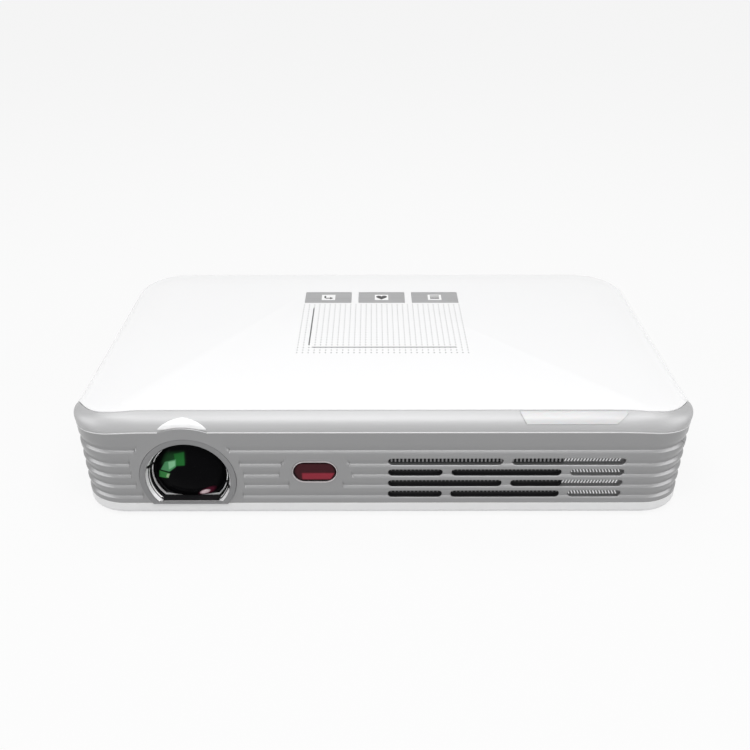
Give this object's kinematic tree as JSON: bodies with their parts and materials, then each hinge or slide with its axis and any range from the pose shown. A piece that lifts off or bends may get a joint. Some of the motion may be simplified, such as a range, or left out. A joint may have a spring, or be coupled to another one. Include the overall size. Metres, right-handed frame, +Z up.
{
  "type": "projector with disc drive",
  "caption": "Flat portable projector with a front lens, ribbed side wall, touch keys on top, cooling vents and a slide-out disc tray in its side.",
  "frame": {"origin": "on the surface the projector stands on, under the middle of the case", "axes": "+X to the right seen from the front, along the longest side; +Y from the lens face to the back; +Z up"},
  "size_m": [0.2408, 0.146, 0.0472],
  "materials": {
    "white_shell": "glossy white moulded plastic",
    "silver_wall": "satin silver-grey painted plastic",
    "silver_brow": "glossy silver-grey painted plastic",
    "light_diffuser": "milky light diffuser",
    "key_grey": "fine-grained grey",
    "button_silver": "glossy light grey",
    "ring_grey": "satin dark grey",
    "optical_black": "flat black",
    "lens_glass": "coated glass",
    "ir_red": "glossy dark red",
    "black_plastic": "black moulded plastic",
    "mesh_dark": "dark perforated plastic",
    "circuit_board": "green solder mask",
    "foot_rubber": "black rubber",
    "bright_steel": "turned bright steel",
    "sheet_steel": "plated sheet steel",
    "insert_brass": "turned brass",
    "cast_alloy": "die-cast alloy",
    "fin_aluminium": "bare aluminium sheet",
    "copper": "bare copper",
    "battery_wrap": "blue shrink wrap",
    "ribbon_film": "amber film"
  },
  "bodies": {
    "case": {"bottom_cover": "white_shell", "top_cover": "white_shell", "lens_hood": "white_shell", "front_bezel": "silver_wall", "left_side_panel": "silver_wall", "right_side_panel": "silver_wall", "rear_panel": "silver_wall", "front_brow": "silver_brow", "status_light_bar": "light_diffuser", "touch_keys": "key_grey", "lens_ring": "ring_grey", "lens_shade": "optical_black", "engine_prism": "lens_glass", "ir_window": "ir_red", "ir_receiver": "black_plastic", "blower_housing": "black_plastic", "audio_jack": "black_plastic", "power_jack": "black_plastic", "power_switch": "black_plastic", "speakers": "black_plastic", "board_chips": "black_plastic", "vent_mesh": "mesh_dark", "light_board": "circuit_board", "touch_board": "circuit_board", "main_board": "circuit_board", "mirror_chip_board": "circuit_board", "rubber_feet": "foot_rubber", "cover_screws": "bright_steel", "drive_chassis": "sheet_steel", "drive_lid": "sheet_steel", "hdmi_port": "sheet_steel", "usb_ports": "sheet_steel", "tripod_insert": "insert_brass", "lens_holder": "cast_alloy", "engine_housing": "cast_alloy", "engine_lid": "cast_alloy", "fin_stack": "fin_aluminium", "heat_pipe": "copper", "led_modules": "copper", "battery_pack": "battery_wrap", "touch_ribbon": "ribbon_film"},
    "lens_group": {"lens_barrel": "optical_black", "front_lens": "lens_glass", "rear_lens": "lens_glass"},
    "focus_dial": {"focus_wheel": "black_plastic"},
    "blower_wheel": {"blower_rotor": "black_plastic"},
    "tray_group": {"disc_tray": "black_plastic", "tray_door": "silver_wall", "tray_pan": "sheet_steel", "spindle_motor": "bright_steel", "guide_rods": "bright_steel", "sled_motor": "bright_steel"},
    "rail_pair": {"tray_rails": "sheet_steel"},
    "disc_chuck": {"disc_hub": "black_plastic"},
    "pickup_carriage": {"pickup_sled": "black_plastic"},
    "lens_actuator": {"objective_lens": "lens_glass"},
    "pickup_screw": {"lead_screw": "bright_steel"},
    "eject_key": {"eject_button": "button_silver"},
    "power_key": {"power_button": "button_silver"}
  },
  "joints": [
    {"name": "lens_focus", "type": "slide", "parent": "case", "child": "lens_group", "axis": [0, 1, 0], "range_m": [-0.0015, 0.0015]},
    {"name": "focus_turn", "type": "hinge", "parent": "case", "child": "focus_dial", "pos_m": [-0.1073, -0.043, 0.0132], "axis": [0, 0, 1], "range_deg": [-22, 22]},
    {"name": "blower_spin", "type": "hinge", "parent": "case", "child": "blower_wheel", "pos_m": [0.0357, -0.035, 0.0132], "axis": [0, 0, 1], "continuous": true},
    {"name": "tray_slide", "type": "slide", "parent": "case", "child": "tray_group", "axis": [1, 0, 0], "range_m": [0, 0.13]},
    {"name": "rail_slide", "type": "slide", "parent": "case", "child": "rail_pair", "axis": [1, 0, 0], "range_m": [0, 0.065]},
    {"name": "chuck_spin", "type": "hinge", "parent": "tray_group", "child": "disc_chuck", "pos_m": [0.0504, -0.002, 0.0312], "axis": [0, 0, 1], "continuous": true},
    {"name": "pickup_slide", "type": "slide", "parent": "tray_group", "child": "pickup_carriage", "axis": [-1, 0, 0], "range_m": [0, 0.032]},
    {"name": "objective_focus", "type": "slide", "parent": "pickup_carriage", "child": "lens_actuator", "axis": [0, 0, 1], "range_m": [-0.0004, 0.0004], "stiffness_N_per_m": 20},
    {"name": "screw_turn", "type": "hinge", "parent": "tray_group", "child": "pickup_screw", "pos_m": [0.0304, 0.015, 0.0299], "axis": [1, 0, 0], "range_deg": [0, 3850]},
    {"name": "eject_press", "type": "slide", "parent": "tray_group", "child": "eject_key", "axis": [-1, 0, 0], "range_m": [0, 0.0008], "stiffness_N_per_m": 300},
    {"name": "power_press", "type": "slide", "parent": "case", "child": "power_key", "axis": [0, -1, 0], "range_m": [0, 0.0008], "stiffness_N_per_m": 300}
  ],
  "couplings": [
    {"joint": "focus_turn", "follows": "lens_focus", "rad_per_m": 250},
    {"joint": "rail_slide", "follows": "tray_slide", "ratio": 0.5},
    {"joint": "screw_turn", "follows": "pickup_slide", "rad_per_m": 2094.4}
  ]
}
